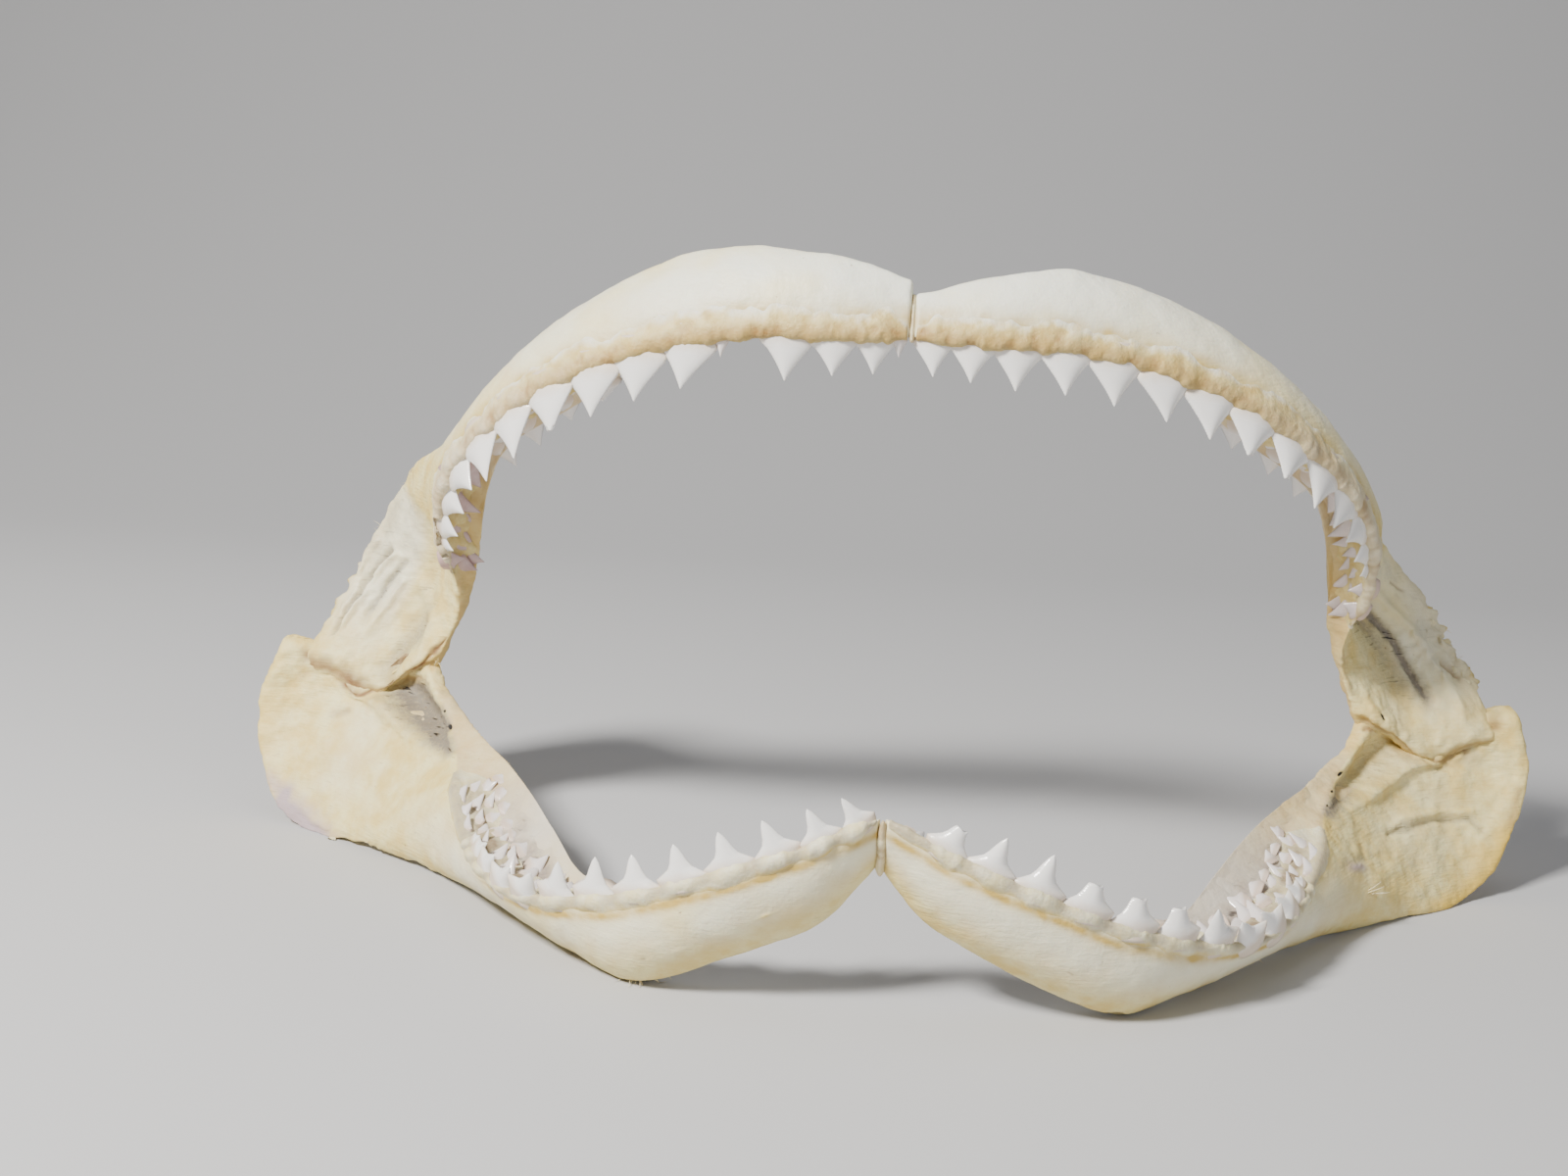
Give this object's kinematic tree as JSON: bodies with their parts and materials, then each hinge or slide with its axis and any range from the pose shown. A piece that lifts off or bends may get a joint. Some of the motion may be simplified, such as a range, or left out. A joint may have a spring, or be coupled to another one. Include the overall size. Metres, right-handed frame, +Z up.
{
  "type": "shark jaw",
  "caption": "Dried, gaping jaws of a requiem shark with rows of triangular teeth, standing on the lower jaw with the upper jaw raised behind it.",
  "frame": {"origin": "bottom centre of the bounding box, on the floor that the lower jaw stands on", "axes": "+Z up, mouth facing -Y, +X towards the animal's own left; the jaws mirror across X = 0 apart from lost and broken teeth"},
  "size_m": [0.4156, 0.1733, 0.1937],
  "materials": {
    "cartilage": "dried cartilage, ivory in front and cream to honey behind, satin with a slight sheen",
    "ligament": "dried ligament, brown and fibrous",
    "gum": "dried gum, tan and finely wrinkled",
    "teeth": "tooth enamel, white and glossy with a faint warm tint at the root"
  },
  "bodies": {
    "root": {"upper_jaw_left": "cartilage", "upper_jaw_right": "cartilage", "lower_jaw_left": "cartilage", "lower_jaw_right": "cartilage", "joint_capsule_left": "ligament", "joint_capsule_right": "ligament", "upper_symphysis": "ligament", "lower_symphysis": "ligament"}
  },
  "joints": []
}
